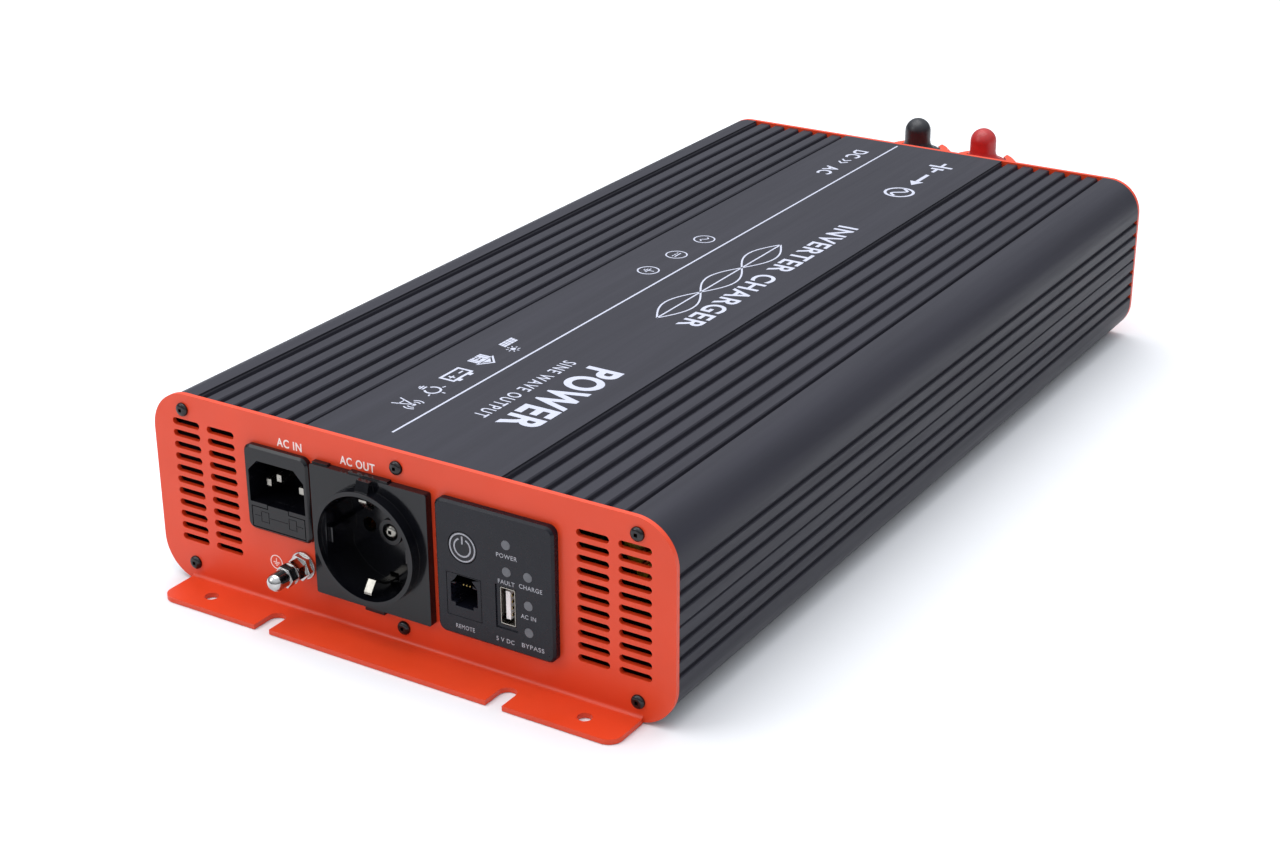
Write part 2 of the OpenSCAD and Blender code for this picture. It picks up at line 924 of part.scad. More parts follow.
module earth_washers() {
    color([0.85, 0.85, 0.86])
        translate([earth_x, front_y, earth_z]) {
            translate([0, -1, 0])
                ring_y(5, earth_r + fit_gap, 1);
            translate([0, -7.9, 0])
                ring_y(3.9, earth_r + fit_gap, 0.7);
            translate([0, sheet_t, 0])
                ring_y(5, earth_r + fit_gap, 0.7);
        }
}

// Hexagon foot with a dome whose tip reaches the front limit of the object
module earth_cap_nut() {
    dome_r = 3.2;
    foot = 7.9;
    color([0.88, 0.88, 0.9])
        translate([earth_x, front_y, earth_z])
            difference() {
                union() {
                    translate([0, -foot - 3.2, 0])
                        rotate([0, 6, 0])
                            hex_nut(earth_nut_r, earth_r, 3.2);
                    rod_y(0, 0, dome_r, dome_r - front_reach, -foot - cut);
                    translate([0, dome_r - front_reach, 0])
                        sphere(dome_r);
                }
                rod_y(0, 0, earth_r + fit_gap, -15, cut - foot);
            }
}

// ---- direct-current terminals ----

// Terminal block round the stud at (x, terminal_y)
module terminal_block(x) {
    difference() {
        union() {
            translate([x, terminal_y, block_z0])
                cylinder(r = terminal_r, h = block_top - block_z0 - 1.6);
            translate([x, terminal_y, block_top - 1.6])
                cylinder(r1 = terminal_r, r2 = terminal_r - 1.6, h = 1.6, $fn = 72);
            box([x - terminal_r, rear_y, block_z0], [x + terminal_r, terminal_y, block_top - 1.6]);
            box([x - terminal_r + 1.6, rear_y, block_z0], [x + terminal_r - 1.6, terminal_y, block_top]);
        }
        translate([x, terminal_y, bar_z])
            cylinder(r = well_r, h = block_top);
        box([x - channel_w / 2, terminal_y, bar_z],
            [x + channel_w / 2, rear_y + rear_reach + cut, block_top + cut]);
        box([x - bar_w / 2 - gap, rear_y - cut, bar_z - 0.01],
            [x + bar_w / 2 + gap, terminal_y, bar_z + bar_t + gap]);
        translate([x, terminal_y, bar_z - 3.4])
            cylinder(r = 7.4, h = 4);
    }
}

// Bar from the stud through the rear plate, then down to the main board
module busbar(x) {
    difference() {
        union() {
            box([x - bar_w / 2, rear_y - bar_inside, bar_z], [x + bar_w / 2, terminal_y, bar_z + bar_t]);
            translate([x, terminal_y, bar_z])
                cylinder(r = bar_w / 2, h = bar_t);
            box([x - bar_w / 2, rear_y - bar_inside, pcb_top],
                [x + bar_w / 2, rear_y - bar_inside + 3, bar_z + cut]);
        }
        translate([x, terminal_y, bar_z - cut])
            cylinder(r = terminal_stud_r + fit_gap, h = bar_t + 2 * cut);
    }
}

// Soft cap: round dome, short neck and flared skirt
module boot(x) {
    neck = [for (i = [0 : 8]) let (a = 90 * i / 8) [boot_skirt_r - (boot_skirt_r - boot_r) * sin(a),
        64.6 - 4.8 * cos(a)]];
    dome = [for (i = [0 : 12]) let (a = 90 * i / 12) [boot_r * cos(a), boot_centre_z + boot_r * sin(a)]];
    inner_r = terminal_stud_r + 0.5;
    translate([x, terminal_y, 0])
        difference() {
            rotate_extrude($fn = 96)
                polygon(concat([[0, boot_z0], [boot_skirt_r, boot_z0]], neck, dome));
            translate([0, 0, boot_z0 - cut])
                cylinder(r = 8.4, h = 59.4 - boot_z0 + cut);
            translate([0, 0, 59.3])
                cylinder(r1 = 8.4, r2 = inner_r, h = 3.6, $fn = 64);
            translate([0, 0, 62.8])
                cylinder(r = inner_r, h = boot_centre_z - 62.8);
            translate([0, 0, boot_centre_z])
                sphere(inner_r);
        }
}

module terminal_block_neg() {
    color([0.9, 0.33, 0.2])
        terminal_block(-terminal_gap / 2);
}

module terminal_block_pos() {
    color([0.9, 0.33, 0.2])
        terminal_block(terminal_gap / 2);
}

module busbar_neg() {
    color([0.8, 0.62, 0.3])
        busbar(-terminal_gap / 2);
}

module busbar_pos() {
    color([0.8, 0.62, 0.3])
        busbar(terminal_gap / 2);
}

module terminal_studs() {
    color([0.82, 0.66, 0.34])
        both_sides()
            translate([terminal_gap / 2, terminal_y, bar_z - 3]) {
                cylinder(r = terminal_stud_r, h = terminal_stud_top - bar_z + 3);
                cylinder(r = 7, h = 3);
            }
}

module terminal_nuts() {
    color([0.8, 0.8, 0.8])
        both_sides()
            translate([terminal_gap / 2, terminal_y, bar_z + bar_t])
                difference() {
                    union() {
                        cylinder(r = 7.9, h = 1.6);
                        cylinder(r = 7.5, h = 7.8, $fn = 6);
                    }
                    translate([0, 0, -cut])
                        cylinder(r = terminal_stud_r + fit_gap, h = 12);
                }
}

module boot_neg() {
    color([0.08, 0.09, 0.11])
        boot(-terminal_gap / 2);
}

module boot_pos() {
    color([0.75, 0.12, 0.12])
        boot(terminal_gap / 2);
}

// ---- cooling fans ----

// Places a fan at each side; the fan's outer face is y = 0 and it reaches towards -Y
module at_fans() {
    for (s = [-1, 1])
        translate([s * fan_x, shell_y1, fan_z])
            children();
}

module fan_frames() {
    color([0.1, 0.1, 0.11])
        at_fans() {
            difference() {
                slab_y(-fan_d, 0)
                    rounded_rect(fan_w, fan_w, 3);
                rod_y(0, 0, fan_duct_r, -fan_d - cut, cut);
                for (sx = [-1, 1], sz = [-1, 1])
                    rod_y(sx * fan_hole, sz * fan_hole, 2, -fan_d - cut, cut);
            }
            difference() {
                union() {
                    rod_y(0, 0, hub_r, -fan_d, -fan_d + 2.4);
                    rod_y(0, 0, 3, -fan_d, -7);
                    for (a = [45 : 90 : 315])
                        rotate([0, a, 0])
                            box([hub_r - cut, -fan_d, -1.2], [fan_duct_r + 0.5, -fan_d + 2.4, 1.2]);
                }
                rod_y(0, 0, shaft_r + fit_gap, -fan_d - cut, 0);
            }
        }
}

// Hub, shaft and twisted blades, turning about Y
module fan_rotor() {
    difference() {
        rod_y(0, 0, hub_r, -fan_d + 3.4, -2);
        rod_y(0, 0, hub_r - 1.6, -fan_d + 3, -3.6);
    }
    rod_y(0, 0, shaft_r, -fan_d + 1, -3);
    intersection() {
        for (k = [0 : blade_count - 1])
            rotate([0, k * 360 / blade_count, 0])
                translate([hub_r - 0.8, -9.6, 0])
                    rotate([38, 0, 0])
                        translate([0, -9, -0.7])
                            cube([fan_sweep_d / 2, 18, 1.4]);
        difference() {
            rod_y(0, 0, fan_sweep_d / 2, -fan_d + 3.8, -2.6);
            rod_y(0, 0, hub_r - 0.8, -fan_d, 0);
        }
    }
}

module fan_rotor_left() {
    color([0.08, 0.08, 0.09])
        translate([-fan_x, shell_y1, fan_z])
            fan_rotor();
}

module fan_rotor_right() {
    color([0.08, 0.08, 0.09])
        translate([fan_x, shell_y1, fan_z])
            fan_rotor();
}

module fan_coils() {
    color([0.72, 0.4, 0.2])
        at_fans()
            translate([0, -fan_d + 4.4, 0])
                ring_y(8.4, 3, 7.6);
}

// Wire guard: rings on four spokes whose ends are sunk into screw eyes
module fan_guards() {
    wire = 0.8;
    color([0.75, 0.76, 0.78])
        at_fans()
            translate([0, sheet_t, 0]) {
                for (r = [6 : 4.6 : 20])
                    translate([0, 2.7, 0])
                        rotate([90, 0, 0])
                            rotate_extrude()
                                translate([r, 0])
                                    circle(wire);
                for (a = [45 : 90 : 315])
                    rotate([0, a, 0]) {
                        rod_between([5.4, 1.6, 0], [25.3, 1.6, 0], wire);
                        translate([fan_hole * sqrt(2), 0, 0])
                            ring_y(3.6, 2, guard_eye_h);
                    }
            }
}

module fan_screws() {
    color([0.06, 0.06, 0.07])
        at_fans()
            for (sx = [-1, 1], sz = [-1, 1])
                translate([sx * fan_hole, sheet_t + guard_eye_h, sz * fan_hole])
                    mirror([0, 1, 0])
                        pan_screw(2.9, 1.7, 1.6, 16);
}

// ---- inside ----

module main_board() {
    color([0.06, 0.28, 0.16])
        box([-pcb_w / 2, pcb_y0, pcb_z], [pcb_w / 2, pcb_y1, pcb_top]);
}

module control_board() {
    y = front_y + 60;
    color([0.06, 0.28, 0.16]) {
        box([-50, y, pcb_top], [40, y + board_t, pcb_top + 40]);
        for (x = [-35, -8, 20])
            box([x - 5, y - 2, pcb_top + 14], [x + 5, y + cut, pcb_top + 24]);
    }
}

transformer_places = [for (x = [-56, 0, 56]) [x, 62]];

module transformer_cores() {
    color([0.22, 0.22, 0.23])
        for (p = transformer_places)
            translate([p[0], p[1], pcb_top + 0.5])
                difference() {
                    box([-22, -15, 0], [22, 15, 36]);
                    for (s = [-1, 1])
                        translate([s * 10.5, 0, 18])
                            cube([9, 32, 22], center = true);
                }
}

module transformer_windings() {
    color([0.85, 0.7, 0.2])
        for (p = transformer_places)
            translate([p[0], p[1], pcb_top + 0.5 + 18])
                difference() {
                    cube([28.4, 42, 21], center = true);
                    cube([12.4, 30.4, 22], center = true);
                }
}

// Upright can capacitor with a rolled edge
module can_capacitor(r, h) {
    cylinder(r = r, h = h - 1.5);
    translate([0, 0, h - 1.5])
        cylinder(r = r - 1, h = 1.5);
}

module bus_capacitors() {
    color([0.12, 0.13, 0.3])
        for (x = [-44, -8, 28])
            translate([x, -30, pcb_top])
                can_capacitor(15, 46);
}

module input_capacitors() {
    color([0.1, 0.25, 0.2])
        for (k = [0 : 5], s = [-1, 1])
            translate([s * (36 + k * 10.5), k % 2 == 0 ? 104 : 118, pcb_top])
                can_capacitor(6.5, 30);
}

// Finned bar along the board's edge
module heat_sinks() {
    color([0.7, 0.71, 0.73])
        both_sides()
            slab_y(-130, 40)
                translate([82, pcb_top]) {
                    square([3, 44]);
                    for (k = [0 : 6])
                        translate([3 - 0.1, 3 + k * 6.2])
                            square([8, 1.6]);
                }
}

module power_transistors() {
    color([0.1, 0.1, 0.1])
        both_sides()
            for (k = [0 : 5])
                translate([82 - 5, -116 + k * 27, pcb_top]) {
                    box([0, -8, 14], [5, 8, 34]);
                    for (j = [-1 : 1])
                        box([1.5, j * 5.4 - 0.6, 0], [2.3, j * 5.4 + 0.6, 14 + cut]);
                }
}

choke_place = [76, front_y + 50, pcb_top + 24];
choke_major = 15;
choke_minor = 6;
choke_turns = 18;

module choke_core() {
    color([0.85, 0.75, 0.2])
        translate(choke_place)
            rotate([90, 0, 0])
                rotate_extrude()
                    translate([choke_major, 0])
                        circle(choke_minor);
}

module choke_winding() {
    color([0.75, 0.4, 0.18])
        translate(choke_place)
            for (k = [0 : choke_turns - 1])
                rotate([0, k * 360 / choke_turns, 0])
                    translate([choke_major, 0, 0])
                        rotate_extrude()
                            translate([choke_minor + 0.9, 0])
                                circle(0.75);
}

module relays() {
    color([0.12, 0.12, 0.13])
        for (x = [-62, -42])
            box([x - 7, front_y + 66, pcb_top], [x + 7, front_y + 96, pcb_top + 24]);
}

module blade_fuses() {
    color([0.3, 0.6, 0.25])
        for (k = [0 : 3], s = [-1, 1])
            translate([s * 4, 92 + k * 8, pcb_top])
                box([-2.5, -2.5, 0], [2.5, 2.5, 15]);
}

// One lead from the inlet and one from the outlet, down to the main board
module lead_pair(inlet_start, outlet_start, spread) {
    drop = front_y + 44;
    lead([inlet_start, [inlet_start[0], drop + spread, inlet_start[2]],
        [inlet_start[0], drop + spread, pcb_top]], 1.3);
    lead([outlet_start, [outlet_start[0], drop + spread, outlet_start[2]],
        [outlet_start[0], drop + spread, pcb_top]], 1.3);
}

tag_y = front_y + inlet_depth + 7;
contact_end_y = front_y + recess_floor + cup_floor_t + carrier_d + 6.5;

module live_leads() {
    color([0.4, 0.22, 0.12])
        lead_pair([inlet_x - pin_x, tag_y, pin_z], [outlet_x - outlet_pin_x, contact_end_y, outlet_z], 0);
}

module neutral_leads() {
    color([0.15, 0.3, 0.7])
        lead_pair([inlet_x + pin_x, tag_y, pin_z], [outlet_x + outlet_pin_x, contact_end_y, outlet_z], 0);
}

module earth_leads() {
    color([0.45, 0.65, 0.15])
        lead_pair([inlet_x, tag_y, earth_pin_z],
            [outlet_x, front_y + recess_floor + clip_tail, outlet_z - clip_seat], 0);
}

upper_shell();
lower_shell();
front_plate();
rear_plate();
front_screws();
rear_screws();
inlet_body();
inlet_pins();
fuse_drawer();
drawer_fuses();
outlet_front();
outlet_carrier();
outlet_contacts();
outlet_earth_clips();
outlet_screw();
panel_bezel();
power_button();
panel_board();
push_switch();
light_pipes();
status_leds();
remote_jack();
jack_contacts();
usb_shell();
usb_tongue();
usb_contacts();
earth_stud();
earth_nuts();
earth_washers();
earth_cap_nut();
terminal_block_neg();
terminal_block_pos();
busbar_neg();
busbar_pos();
terminal_studs();
terminal_nuts();
boot_neg();
boot_pos();
fan_frames();
fan_rotor_left();
fan_rotor_right();
fan_coils();
fan_guards();
fan_screws();
main_board();
control_board();
transformer_cores();
transformer_windings();
bus_capacitors();
input_capacitors();
heat_sinks();
power_transistors();
choke_core();
choke_winding();
relays();
blade_fuses();
live_leads();
neutral_leads();
earth_leads();
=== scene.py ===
"""Looks for the power inverter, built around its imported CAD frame."""
import math

import bmesh
import bpy
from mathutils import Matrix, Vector


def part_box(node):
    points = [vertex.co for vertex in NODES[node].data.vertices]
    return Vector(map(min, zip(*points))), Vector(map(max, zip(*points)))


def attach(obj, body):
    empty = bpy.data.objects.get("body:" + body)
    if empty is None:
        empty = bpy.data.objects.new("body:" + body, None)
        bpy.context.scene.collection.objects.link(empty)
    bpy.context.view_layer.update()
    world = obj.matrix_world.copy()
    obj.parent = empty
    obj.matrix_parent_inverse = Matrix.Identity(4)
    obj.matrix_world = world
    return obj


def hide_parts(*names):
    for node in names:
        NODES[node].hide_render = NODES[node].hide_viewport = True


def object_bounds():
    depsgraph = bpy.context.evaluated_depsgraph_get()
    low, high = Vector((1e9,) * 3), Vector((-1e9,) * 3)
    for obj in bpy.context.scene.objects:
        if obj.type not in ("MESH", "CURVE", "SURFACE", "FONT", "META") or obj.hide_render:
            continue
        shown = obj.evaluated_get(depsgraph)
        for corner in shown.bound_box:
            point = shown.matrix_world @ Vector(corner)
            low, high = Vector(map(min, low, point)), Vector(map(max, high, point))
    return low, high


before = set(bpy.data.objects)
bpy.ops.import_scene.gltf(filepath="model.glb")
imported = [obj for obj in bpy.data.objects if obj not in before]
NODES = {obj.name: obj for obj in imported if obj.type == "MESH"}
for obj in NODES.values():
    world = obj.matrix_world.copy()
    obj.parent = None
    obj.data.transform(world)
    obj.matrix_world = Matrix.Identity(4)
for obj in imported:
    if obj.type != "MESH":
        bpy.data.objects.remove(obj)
cad_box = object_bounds()

MM = 0.001
CASE_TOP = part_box("upper_shell")[1].z
PANEL_FACE_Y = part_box("panel_bezel")[0].y
PANEL_PROUD = 3 * MM
FRONT_Y = PANEL_FACE_Y + PANEL_PROUD    # the front plate's outer face
INK_DEPTH = 0.04 * MM


# ---- materials ----

SMOOTHEST = 0.03       # no surface is glossier than this roughness
GLOSS_SCALE = 0.35     # patches of uneven gloss are this much smaller than patches of colour


def new_material(name):
    """A material with one Principled shader; returns the material, its tree and the shader."""
    material = bpy.data.materials.new(name)
    material.use_nodes = True
    tree = material.node_tree
    tree.nodes.clear()
    output = tree.nodes.new("ShaderNodeOutputMaterial")
    shader = tree.nodes.new("ShaderNodeBsdfPrincipled")
    tree.links.new(shader.outputs["BSDF"], output.inputs["Surface"])
    return material, tree, shader


def coordinates(tree, stretch=(1, 1, 1)):
    """Coordinates of the piece in millimetres, divided by stretch along each axis."""
    source = tree.nodes.new("ShaderNodeTexCoord")
    mapping = tree.nodes.new("ShaderNodeMapping")
    mapping.inputs["Scale"].default_value = [1000 / s for s in stretch]
    tree.links.new(source.outputs["Object"], mapping.inputs["Vector"])
    return mapping.outputs["Vector"]


def noise(tree, size, detail=3.0, stretch=(1, 1, 1)):
    """Noise with features about size millimetres across."""
    node = tree.nodes.new("ShaderNodeTexNoise")
    node.inputs["Scale"].default_value = 1.0 / size
    node.inputs["Detail"].default_value = detail
    tree.links.new(coordinates(tree, stretch), node.inputs["Vector"])
    return node.outputs["Fac"]


def bands(tree, pitch, axis):
    """Parallel bands with a spacing of pitch millimetres along one axis."""
    node = tree.nodes.new("ShaderNodeTexWave")
    node.bands_direction = axis
    node.inputs["Scale"].default_value = math.tau / 20 / pitch
    node.inputs["Distortion"].default_value = 0.3
    tree.links.new(coordinates(tree), node.inputs["Vector"])
    return node.outputs["Fac"]


def spread(tree, value, low, high, from_low=0.3, from_high=0.7):
    """Maps a pattern's value onto low..high."""
    node = tree.nodes.new("ShaderNodeMapRange")
    node.inputs["From Min"].default_value = from_low
    node.inputs["From Max"].default_value = from_high
    node.inputs["To Min"].default_value = low
    node.inputs["To Max"].default_value = high
    tree.links.new(value, node.inputs["Value"])
    return node.outputs["Result"]


def mix_colours(tree, factor, first, second):
    """Blends two colours, each a tuple or a socket."""
    node = tree.nodes.new("ShaderNodeMix")
    node.data_type = "RGBA"
    tree.links.new(factor, node.inputs["Factor"])
    for socket, colour in (("A", first), ("B", second)):
        entry = [s for s in node.inputs if s.name == socket and s.type == "RGBA"][0]
        if isinstance(colour, bpy.types.NodeSocket):
            tree.links.new(colour, entry)
        else:
            entry.default_value = (*colour, 1)
    return [s for s in node.outputs if s.type == "RGBA"][0]


def bump(tree, height, depth, under=None):
    """A bump of depth millimetres driven by height; under is a bump that it lies on."""
    node = tree.nodes.new("ShaderNodeBump")
    node.inputs["Strength"].default_value = 1.0
    node.inputs["Distance"].default_value = depth * MM
    tree.links.new(height, node.inputs["Height"])
    if under:
        tree.links.new(under, node.inputs["Normal"])
    return node.outputs["Normal"]


def finish(name, colour, rough, metal=0.0, specular=0.5, shade=0.85, mottle=9.0, grain=0.5,
           depth=0.015, swell=0.0, swell_depth=0.02, rough_spread=0.05, stretch=(1, 1, 1),
           clear=0.0):
    """A surface with mottled colour, uneven gloss, fine grain and a slow swell.

    mottle, grain and swell are feature sizes and depth and swell_depth heights, all in millimetres;
    shade is how dark the mottled patches are, and clear is the share of light that passes through.
    """
    material, tree, shader = new_material(name)
    darker = tuple(c * shade for c in colour)
    patches = spread(tree, noise(tree, mottle, 4.0, stretch), 0, 1)
    tree.links.new(mix_colours(tree, patches, darker, colour), shader.inputs["Base Color"])
    gloss = noise(tree, mottle * GLOSS_SCALE, 3.0, stretch)
    low = max(SMOOTHEST, rough - rough_spread)
    tree.links.new(spread(tree, gloss, low, rough + rough_spread), shader.inputs["Roughness"])
    normal = bump(tree, noise(tree, grain, 2.0, stretch), depth)
    if swell:
        normal = bump(tree, noise(tree, swell, 1.0), swell_depth, under=normal)
    tree.links.new(normal, shader.inputs["Normal"])
    shader.inputs["Metallic"].default_value = metal
    shader.inputs["Specular IOR Level"].default_value = specular
    shader.inputs["Transmission Weight"].default_value = clear
    return material


def powder_coat(name, colour):
    """Satin powder coat: orange-peel swell and a fine grain."""
    return finish(name, colour, 0.4, shade=0.93, mottle=26, grain=0.6, depth=0.006, swell=1.7,
                  swell_depth=0.014, specular=0.42)


def anodised(name, colour):
    """Satin anodised extrusion: faint draw lines along Y over a blasted grain."""
    return finish(name, colour, 0.42, shade=0.82, mottle=7, grain=0.35, depth=0.006, swell=1.2,
                  swell_depth=0.006, stretch=(1, 22, 1), specular=0.13)


def blackened_steel(name, colour):
    """Blackened screws with bare patches."""
    return finish(name, colour, 0.2, metal=0.85, shade=0.5, mottle=1.6, grain=0.3)


def glossy_plastic(name, colour):
    """Polished moulding with a slow swell in its faces."""
    return finish(name, colour, 0.16, specular=0.34, shade=0.75, mottle=10, grain=0.5, depth=0.002,
                  swell=5, swell_depth=0.008, rough_spread=0.03)


def satin_plastic(name, colour):
    """Fine-grained moulding of the remote panel."""
    return finish(name, colour, 0.28, specular=0.26, shade=0.8, mottle=12, grain=0.3, depth=0.005)


def moulded_plastic(name, colour):
    """Plain moulding with light grain."""
    return finish(name, colour, 0.38, shade=0.82, mottle=6, grain=0.4, depth=0.012)


def rubber(name, colour):
    """Soft cap: matt, grained and a little uneven."""
    return finish(name, colour, 0.38, shade=0.78, mottle=4, grain=0.5, depth=0.02, swell=3,
                  swell_depth=0.05)


def plated_metal(name, colour):
    """Plated or drawn metal with fine lines along Y."""
    return finish(name, colour, 0.24, metal=1.0, shade=0.72, mottle=2.4, grain=0.25, depth=0.01,
                  stretch=(1, 5, 1))


def polished_steel(name, colour):
    """Bright fasteners and wire with light handling marks."""
    return finish(name, colour, 0.15, metal=1.0, shade=0.72, mottle=2, grain=0.35, depth=0.008)


def extruded_metal(name, colour):
    """Bare extrusion with long draw lines."""
    return finish(name, colour, 0.34, metal=1.0, shade=0.85, mottle=6, stretch=(1, 25, 1))


def ceramic(name, colour):
    """Sintered, dull and pitted."""
    return finish(name, colour, 0.6, shade=0.7, mottle=3, grain=0.4, depth=0.04)


def epoxy(name, colour):
    """Package or coating with a coarse grain."""
    return finish(name, colour, 0.46, shade=0.8, mottle=5, grain=0.45, depth=0.03)


def shrink_sleeve(name, colour):
    """Thin glossy sleeve stretched along Z."""
    return finish(name, colour, 0.22, shade=0.8, mottle=8, stretch=(1, 1, 5))


def lead_sheath(name, colour):
    """Vinyl sheath of an inner lead."""
    return finish(name, colour, 0.4, shade=0.8, mottle=5, grain=0.5)


def clear_lens(name, colour):
    """Half clear resin."""
    return finish(name, colour, 0.2, shade=0.85, mottle=2, clear=0.4)


def glass(name, colour):
    """Clear glass tube."""
    return finish(name, colour, 0.06, shade=0.92, mottle=3, clear=0.85, depth=0.003)


def diffuser(name, colour):
    """Unlit light window, lighter than the panel around it."""
    return finish(name, colour, 0.35, shade=0.8, mottle=1.2, grain=0.3)


def circuit_board(name, colour):
    """Solder mask over copper tracks, which show lighter and raised in patches of the board."""
    material, tree, shader = new_material(name)
    track_pitch, patch_size = 2.4, 7
    tracks = spread(tree, bands(tree, track_pitch, "X"), 0, 1, 0.55, 0.62)
    islands = spread(tree, noise(tree, patch_size, 0.0), 0, 1, 0.48, 0.5)
    masked = tree.nodes.new("ShaderNodeMath")
    masked.operation = "MULTIPLY"
    tree.links.new(tracks, masked.inputs[0])
    tree.links.new(islands, masked.inputs[1])
    lighter = tuple(c * 1.7 + 0.02 for c in colour)
    colours = mix_colours(tree, masked.outputs[0], colour, lighter)
    tree.links.new(colours, shader.inputs["Base Color"])
    tree.links.new(bump(tree, masked.outputs[0], 0.05), shader.inputs["Normal"])
    tree.links.new(spread(tree, noise(tree, 5), 0.28, 0.4), shader.inputs["Roughness"])
    return material


def wound(name, colour, pitch=5.0, metal=0.0):
    """Tape or wire in close turns round the Z axis, with painted shade that darkens the grooves
    between the turns.
    """
    material, tree, shader = new_material(name)
    turns = bands(tree, pitch, "Z")
    darker = tuple(c * 0.6 for c in colour)
    # painted shade: the colour is darker where the turns' bump is low, in the grooves between turns
    tree.links.new(mix_colours(tree, turns, darker, colour), shader.inputs["Base Color"])
    tree.links.new(bump(tree, turns, 0.1), shader.inputs["Normal"])
    tree.links.new(spread(tree, noise(tree, 3), 0.25, 0.4), shader.inputs["Roughness"])
    shader.inputs["Metallic"].default_value = metal
    return material


def wire(name, colour):
    """Bare or enamelled copper wire in close turns."""
    return wound(name, colour, pitch=0.9, metal=1.0)


# The record's material slots, each with its kind of surface and its colour
SLOT_FINISHES = {
    "case_black": (anodised, (0.031, 0.0302, 0.0395)),
    "plate_orange": (powder_coat, (0.7, 0.052, 0.011)),
    "block_orange": (powder_coat, (0.74, 0.064, 0.017)),
    "screw_black": (blackened_steel, (0.05, 0.047, 0.048)),
    "socket_black": (glossy_plastic, (0.0035, 0.0037, 0.0055)),
    "panel_black": (satin_plastic, (0.0058, 0.0062, 0.011)),
    "button_black": (satin_plastic, (0.007, 0.0075, 0.0105)),
    "nickel": (plated_metal, (0.36, 0.345, 0.31)),
    "brass": (plated_metal, (0.7, 0.47, 0.18)),
    "gold_contact": (plated_metal, (0.85, 0.6, 0.22)),
    "bolt_steel": (polished_steel, (0.56, 0.55, 0.54)),
    "guard_steel": (polished_steel, (0.6, 0.6, 0.62)),
    "sink_grey": (extruded_metal, (0.55, 0.56, 0.58)),
    "usb_white": (moulded_plastic, (0.8, 0.74, 0.72)),
    "fan_black": (moulded_plastic, (0.013, 0.013, 0.015)),
    "light_pipe": (diffuser, (0.11, 0.113, 0.125)),
    "led_body": (clear_lens, (0.75, 0.72, 0.5)),
    "fuse_green": (clear_lens, (0.05, 0.38, 0.09)),
    "fuse_glass": (glass, (0.85, 0.88, 0.9)),
    "boot_black": (rubber, (0.008, 0.009, 0.013)),
    "boot_red": (rubber, (0.42, 0.012, 0.012)),
    "board_green": (circuit_board, (0.012, 0.1, 0.04)),
    "copper": (wire, (0.62, 0.22, 0.07)),
    "tape_yellow": (wound, (0.75, 0.5, 0.06)),
    "core_yellow": (epoxy, (0.85, 0.52, 0.03)),
    "chip_black": (epoxy, (0.016, 0.016, 0.017)),
    "ferrite": (ceramic, (0.035, 0.034, 0.036)),
    "can_blue": (shrink_sleeve, (0.02, 0.03, 0.12)),
    "can_green": (shrink_sleeve, (0.015, 0.08, 0.05)),
    "lead_brown": (lead_sheath, (0.13, 0.045, 0.02)),
    "lead_blue": (lead_sheath, (0.015, 0.06, 0.34)),
    "lead_green": (lead_sheath, (0.16, 0.36, 0.03)),
}


def paint_nodes():
    """Gives every CAD node the finish of its slot; returns the materials by slot."""
    made = {slot: build(slot + "_finish", colour)
            for slot, (build, colour) in SLOT_FINISHES.items()}
    for node in NODES.values():
        for entry in node.material_slots:
            entry.material = made[entry.material.name]
    return made


def ink_finish(name, colour, shade, mottle, grain=0.5):
    """Screen print: even, satin and almost smooth."""
    return finish(name, colour, 0.45, shade=shade, mottle=mottle, grain=grain, depth=0.006)


MATERIALS = paint_nodes()
WHITE_INK = ink_finish("white_ink", (0.5, 0.515, 0.61), 0.93, 2.5)
PLATE_INK = ink_finish("plate_ink", (0.86, 0.72, 0.68), 0.9, 1.5)
PANEL_INK = ink_finish("panel_ink", (0.34, 0.34, 0.37), 0.82, 1.2, grain=0.4)


# ---- softened edges of the CAD nodes ----

WELD_REACH = 0.001 * MM     # joins the tessellation's doubled points
FLAT_ANGLE = 0.5            # faces that meet at less than this, in degrees, become one
SHARP_ANGLE = 35            # edges sharper than this, in degrees, are rounded


def soften(node, width):
    """Rounds the sharp edges of a CAD node by width millimetres, without touching its mesh."""
    piece = NODES[node]
    piece.data.polygons.foreach_set("use_smooth", [True] * len(piece.data.polygons))
    weld = piece.modifiers.new("weld", "WELD")
    weld.merge_threshold = WELD_REACH
    flat = piece.modifiers.new("flat", "DECIMATE")
    flat.decimate_type = "DISSOLVE"
    flat.angle_limit = math.radians(FLAT_ANGLE)
    edges = piece.modifiers.new("edges", "BEVEL")
    edges.width = width * MM
    edges.segments = 2
    edges.limit_method = "ANGLE"
    edges.angle_limit = math.radians(SHARP_ANGLE)
    edges.use_clamp_overlap = True
    normals = piece.modifiers.new("normals", "WEIGHTED_NORMAL")
    normals.keep_sharp = False


# Width of the rounding in millimetres, and the nodes that get it
SOFT_EDGES = {
    0.55: ["upper_shell", "lower_shell"],
    0.3: ["front_plate", "rear_plate", "inlet_body", "outlet_front", "panel_bezel",
          "terminal_block_neg", "terminal_block_pos", "transformer_windings",
          "transformer_cores", "relays"],
    0.2: ["power_button", "boot_neg", "boot_pos", "fan_frames", "remote_jack", "heat_sinks",
          "busbar_neg", "busbar_pos", "terminal_nuts", "power_transistors", "blade_fuses",
          "bus_capacitors", "input_capacitors"],
    0.12: ["fuse_drawer", "earth_washers", "front_screws", "rear_screws", "fan_screws",
           "outlet_screw", "inlet_pins", "fan_rotor_left", "fan_rotor_right", "usb_tongue",
           "earth_nuts", "earth_cap_nut", "usb_shell"],
}


def soften_nodes():
    """Rounds the edges of every node in SOFT_EDGES."""
    for width, names in SOFT_EDGES.items():
        for name in names:
            soften(name, width)


# ---- drawing in ink: flat shapes as (points, faces), then thin raised solids ----

MITRE_LIMIT = 0.35     # the least cosine by which a corner's reach is divided


